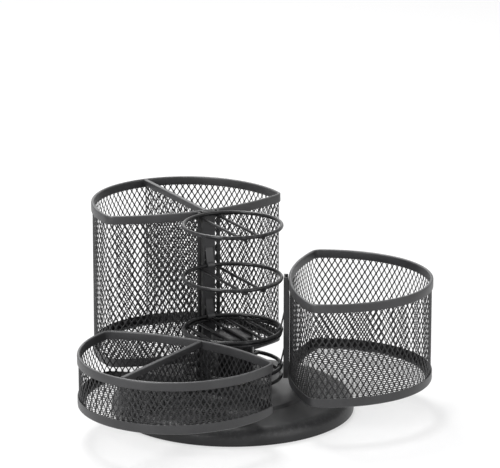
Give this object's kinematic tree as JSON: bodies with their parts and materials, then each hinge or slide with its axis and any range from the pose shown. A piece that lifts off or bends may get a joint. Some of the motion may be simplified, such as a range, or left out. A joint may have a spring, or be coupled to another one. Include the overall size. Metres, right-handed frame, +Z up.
{
  "type": "rotating desk organizer",
  "caption": "Rotating desk organizer: a round weighted foot carries a turning wire silo with hanging expanded-metal bins that lift off, some of them divided.",
  "frame": {"origin": "on the spin axis, at the surface that the foot stands on", "axes": "+Z up along the spin axis, +X through the middle of the medium bin"},
  "size_m": [0.2138, 0.2286, 0.1185],
  "materials": {
    "satin_black_foot": "satin",
    "black_powder_coat": "satin",
    "black_mesh": "satin",
    "bare_steel": "brushed",
    "bearing_plastic": "matte",
    "rubber": "matte"
  },
  "bodies": {
    "foot": {"base_shell": "satin_black_foot", "non_slip_pad": "rubber", "ballast_plate": "bare_steel", "spindle": "bare_steel", "spindle_washer": "bare_steel", "spindle_screw": "bare_steel", "collar_spacer": "bare_steel", "thrust_washer": "bearing_plastic", "retaining_clip": "bare_steel"},
    "silo": {"hub_cap": "black_powder_coat", "hub_sleeve": "black_powder_coat", "lower_bush": "bearing_plastic", "ring_bottom": "black_powder_coat", "ring_bottom_spoke_1": "black_powder_coat", "ring_bottom_spoke_2": "black_powder_coat", "ring_bottom_spoke_3": "black_powder_coat", "ring_lower": "black_powder_coat", "ring_lower_spoke_1": "black_powder_coat", "ring_lower_spoke_2": "black_powder_coat", "ring_lower_spoke_3": "black_powder_coat", "ring_middle": "black_powder_coat", "ring_middle_divider_left": "black_powder_coat", "ring_middle_divider_right": "black_powder_coat", "ring_silo_floor": "black_mesh", "ring_top": "black_powder_coat", "ring_top_divider_left": "black_powder_coat", "ring_top_divider_right": "black_powder_coat", "silo_floor_hoop": "black_powder_coat", "silo_floor_wire_1": "black_powder_coat", "silo_floor_wire_2": "black_powder_coat", "silo_floor_wire_3": "black_powder_coat", "silo_floor_wire_4": "black_powder_coat", "silo_floor_wire_5": "black_powder_coat", "upper_bush": "bearing_plastic", "upright_left": "black_powder_coat", "upright_right": "black_powder_coat"},
    "tall_bin": {"tall_bottom_band": "black_powder_coat", "tall_divider": "black_mesh", "tall_divider_trim": "black_powder_coat", "tall_floor": "black_mesh", "tall_hanger": "black_powder_coat", "tall_rim_band": "black_powder_coat", "tall_wall": "black_mesh"},
    "medium_bin": {"medium_bottom_band": "black_powder_coat", "medium_floor": "black_mesh", "medium_hanger": "black_powder_coat", "medium_rim_band": "black_powder_coat", "medium_wall": "black_mesh"},
    "tray_bin": {"tray_bottom_band": "black_powder_coat", "tray_divider": "black_mesh", "tray_divider_trim": "black_powder_coat", "tray_floor": "black_mesh", "tray_hanger": "black_powder_coat", "tray_rim_band": "black_powder_coat", "tray_wall": "black_mesh"}
  },
  "joints": [
    {"name": "silo_spin", "type": "hinge", "parent": "foot", "child": "silo", "pos_m": [0, 0, 0.0196], "axis": [0, 0, 1], "continuous": true},
    {"name": "tall_bin_lift", "type": "slide", "parent": "silo", "child": "tall_bin", "axis": [0, 0, 1], "range_m": [0, 0.01]},
    {"name": "medium_bin_lift", "type": "slide", "parent": "silo", "child": "medium_bin", "axis": [0, 0, 1], "range_m": [0, 0.01]},
    {"name": "tray_bin_lift", "type": "slide", "parent": "silo", "child": "tray_bin", "axis": [0, 0, 1], "range_m": [0, 0.01]}
  ]
}
